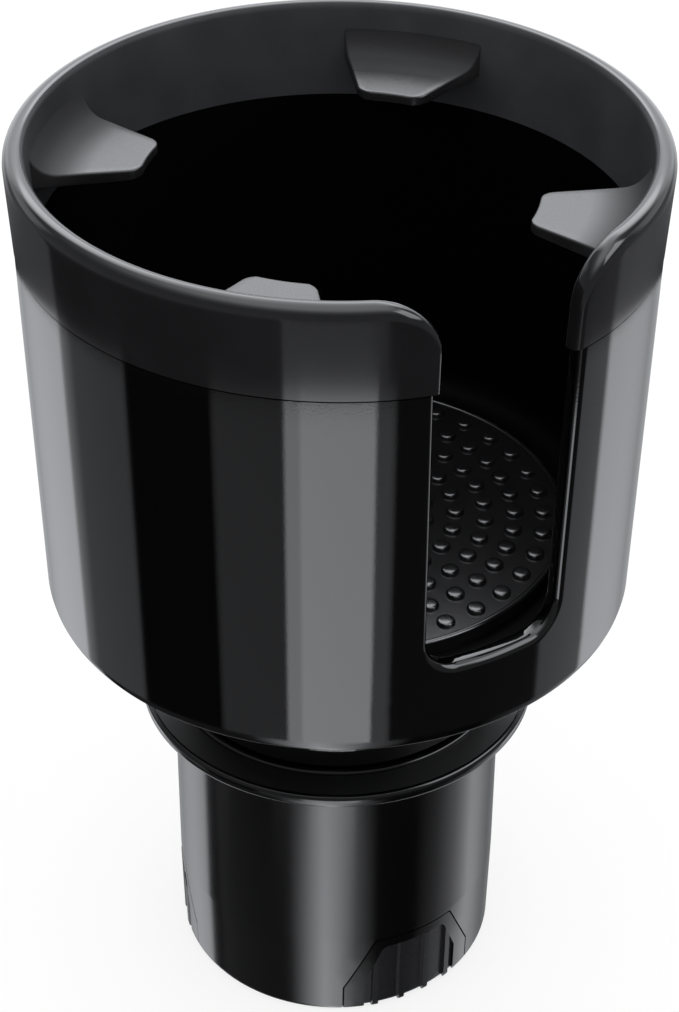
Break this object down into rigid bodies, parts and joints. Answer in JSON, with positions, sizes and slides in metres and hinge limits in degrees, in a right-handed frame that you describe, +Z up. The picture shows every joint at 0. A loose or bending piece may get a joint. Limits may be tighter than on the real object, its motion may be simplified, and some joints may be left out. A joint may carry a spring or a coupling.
{
  "type": "cup holder expander",
  "caption": "Cup holder expander: a round cup with a handle slot, flexible rim tabs and a rubber mat, on a twist-to-expand sleeve that wedges in a vehicle cup holder.",
  "frame": {"origin": "centre of the flat face under the base cover, which the expander stands on", "axes": "+Z up along the common axis of the sleeve and the cup; the handle slot faces -Y; +X to the right seen from the slot"},
  "size_m": [0.116, 0.1142, 0.1823],
  "materials": {
    "cup_plastic": "gloss",
    "base_plastic": "gloss",
    "rim_rubber": "satin",
    "mat_rubber": "matte",
    "pad_rubber": "matte",
    "inner_plastic": "matte",
    "washer_plastic": "matte",
    "screw_steel": "brushed",
    "pin_steel": "polished"
  },
  "bodies": {
    "base": {"base_sleeve": "base_plastic", "base_cover": "base_plastic", "cover_screws": "screw_steel", "thrust_washer": "washer_plastic"},
    "cup": {"cup_shell": "cup_plastic", "rim_ring": "rim_rubber", "floor_mat": "mat_rubber", "neck": "cup_plastic", "floor_screws": "screw_steel", "drive_tube": "inner_plastic", "tube_screws": "screw_steel", "cam_disc": "inner_plastic", "cam_screws": "screw_steel"},
    "foot_front": {"foot_slider_front": "base_plastic", "foot_pad_front": "pad_rubber", "cam_pin_front": "pin_steel"},
    "foot_right": {"foot_slider_right": "base_plastic", "foot_pad_right": "pad_rubber", "cam_pin_right": "pin_steel"},
    "foot_left": {"foot_slider_left": "base_plastic", "foot_pad_left": "pad_rubber", "cam_pin_left": "pin_steel"}
  },
  "joints": [
    {"name": "cup_twist", "type": "hinge", "parent": "base", "child": "cup", "pos_m": [0, 0, 0.0566], "axis": [0, 0, -1], "range_deg": [0, 100]},
    {"name": "foot_slide_front", "type": "slide", "parent": "base", "child": "foot_front", "axis": [0, -1, 0], "range_m": [0, 0.0075]},
    {"name": "foot_slide_right", "type": "slide", "parent": "base", "child": "foot_right", "axis": [0.866, 0.5, 0], "range_m": [0, 0.0075]},
    {"name": "foot_slide_left", "type": "slide", "parent": "base", "child": "foot_left", "axis": [-0.866, 0.5, 0], "range_m": [0, 0.0075]}
  ],
  "couplings": [
    {"joint": "foot_slide_front", "follows": "cup_twist", "m_per_rad": 0.004297},
    {"joint": "foot_slide_right", "follows": "cup_twist", "m_per_rad": 0.004297},
    {"joint": "foot_slide_left", "follows": "cup_twist", "m_per_rad": 0.004297}
  ]
}
